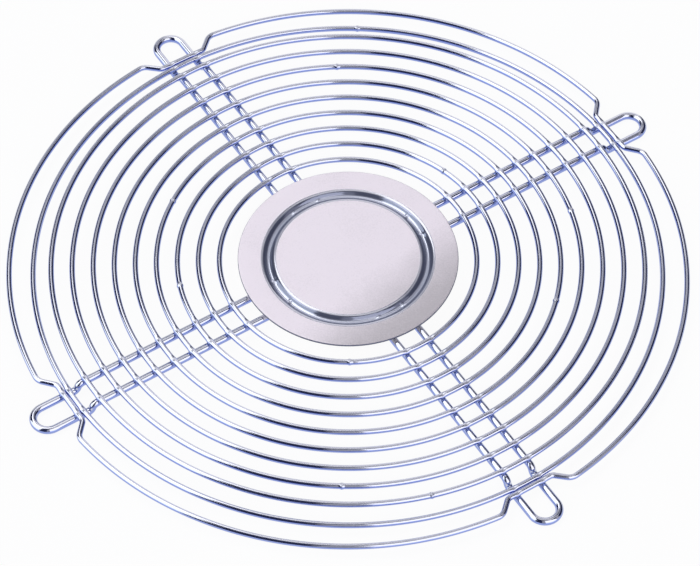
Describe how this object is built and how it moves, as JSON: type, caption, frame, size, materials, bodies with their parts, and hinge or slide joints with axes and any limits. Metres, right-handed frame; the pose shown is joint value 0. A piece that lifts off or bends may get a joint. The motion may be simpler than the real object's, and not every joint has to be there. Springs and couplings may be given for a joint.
{
  "type": "wire fan guard",
  "caption": "Round welded wire finger guard for an axial fan, with hairpin spokes whose ends are screw loops, and a grooved sheet disc over the hub.",
  "frame": {"origin": "on the guard's axis, in the plane that the four screw loops stand on", "axes": "+Z along the axis, away from the fan, out of the guard's front; the four spokes lie on the diagonals between X and Y"},
  "size_m": [0.2642, 0.2642, 0.0082],
  "materials": {
    "bright_wire": "bright nickel-chrome plated over drawn steel wire",
    "satin_disc": "plated sheet steel, satin, with a bright pressed groove"
  },
  "bodies": {
    "root": {"outer_ring": "bright_wire", "ring_2": "bright_wire", "ring_3": "bright_wire", "ring_4": "bright_wire", "ring_5": "bright_wire", "ring_6": "bright_wire", "ring_7": "bright_wire", "ring_8": "bright_wire", "ring_9": "bright_wire", "ring_10": "bright_wire", "ring_11": "bright_wire", "spoke_1": "bright_wire", "spoke_2": "bright_wire", "spoke_3": "bright_wire", "spoke_4": "bright_wire", "centre_disc": "satin_disc"}
  },
  "joints": []
}
